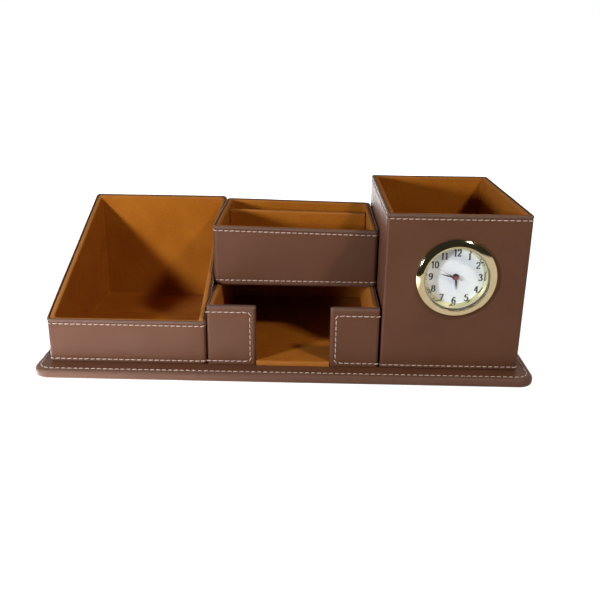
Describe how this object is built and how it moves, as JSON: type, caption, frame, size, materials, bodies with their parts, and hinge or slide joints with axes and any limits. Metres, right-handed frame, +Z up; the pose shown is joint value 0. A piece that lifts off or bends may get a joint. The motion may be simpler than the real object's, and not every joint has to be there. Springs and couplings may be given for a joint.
{
  "type": "leather desk organizer",
  "caption": "Leather desk organizer: a sloped bin, a notched tray under a divided box, and a pen cup with an insert clock, on a stitched base plate.",
  "frame": {"origin": "middle of the underside, on the surface that the organizer stands on", "axes": "+X to the right as seen from the front, towards the pen cup; +Y to the back; +Z up"},
  "size_m": [0.3152, 0.154, 0.1062],
  "materials": {
    "leather": "smooth brown coated leather, soft sheen, pale stitching",
    "lining": "caramel suede-like lining, matte with a short nap",
    "felt": "dark brown felt",
    "greyboard": "uncoated grey board",
    "gold": "polished gold plating",
    "clock_glass": "clear flat glass",
    "dial": "matte white dial paint with dark printed numerals",
    "clock_steel": "plain drawn steel",
    "grip_rubber": "soft pale rubber",
    "clock_plastic": "black moulded plastic",
    "dark_hands": "black lacquered metal",
    "seconds_paint": "rose red lacquered metal"
  },
  "bodies": {
    "root": {"base_leather": "leather", "bin_leather": "leather", "tray_leather": "leather", "upper_leather": "leather", "cup_leather": "leather", "bin_lining": "lining", "tray_lining": "lining", "upper_lining": "lining", "divider_lining": "lining", "cup_lining": "lining", "base_felt": "felt", "base_board": "greyboard", "bin_front_board": "greyboard", "bin_back_board": "greyboard", "bin_left_board": "greyboard", "bin_right_board": "greyboard", "bin_floor_board": "greyboard", "tray_left_tab_board": "greyboard", "tray_right_tab_board": "greyboard", "tray_back_board": "greyboard", "tray_left_board": "greyboard", "tray_right_board": "greyboard", "tray_floor_board": "greyboard", "upper_front_board": "greyboard", "upper_back_board": "greyboard", "upper_left_board": "greyboard", "upper_right_board": "greyboard", "upper_floor_board": "greyboard", "divider_board": "greyboard", "cup_front_board": "greyboard", "cup_back_board": "greyboard", "cup_left_board": "greyboard", "cup_right_board": "greyboard", "cup_floor_board": "greyboard"},
    "clock_insert": {"clock_bezel": "gold", "clock_lens": "clock_glass", "clock_dial_ring": "gold", "clock_dial": "dial", "clock_case": "clock_steel", "clock_grip_ring": "grip_rubber", "clock_movement": "clock_plastic", "clock_battery": "clock_steel"},
    "hour_hand": {"hour_hand": "dark_hands"},
    "minute_hand": {"minute_hand": "dark_hands"},
    "second_hand": {"second_hand": "seconds_paint"},
    "setting_knob": {"clock_setting_knob": "clock_plastic"},
    "battery_cover": {"clock_battery_cover": "clock_plastic"}
  },
  "joints": [
    {"name": "clock_pull", "type": "slide", "parent": "root", "child": "clock_insert", "axis": [0, -1, 0], "range_m": [0, 0.03]},
    {"name": "minute_turn", "type": "hinge", "parent": "clock_insert", "child": "minute_hand", "pos_m": [0.1054, -0.064, 0.0669], "axis": [0, 1, 0], "continuous": true},
    {"name": "hour_turn", "type": "hinge", "parent": "clock_insert", "child": "hour_hand", "pos_m": [0.1054, -0.064, 0.0669], "axis": [0, 1, 0], "continuous": true},
    {"name": "second_turn", "type": "hinge", "parent": "clock_insert", "child": "second_hand", "pos_m": [0.1054, -0.064, 0.0669], "axis": [0, 1, 0], "continuous": true},
    {"name": "setting_knob_turn", "type": "hinge", "parent": "clock_insert", "child": "setting_knob", "pos_m": [0.0974, -0.064, 0.0669], "axis": [0, 1, 0], "continuous": true},
    {"name": "battery_cover_pull", "type": "slide", "parent": "clock_insert", "child": "battery_cover", "axis": [0, 1, 0], "range_m": [0, 0.012]}
  ],
  "couplings": [
    {"joint": "hour_turn", "follows": "minute_turn", "ratio": 0.083333},
    {"joint": "second_turn", "follows": "minute_turn", "ratio": 60},
    {"joint": "setting_knob_turn", "follows": "minute_turn", "ratio": -1}
  ]
}
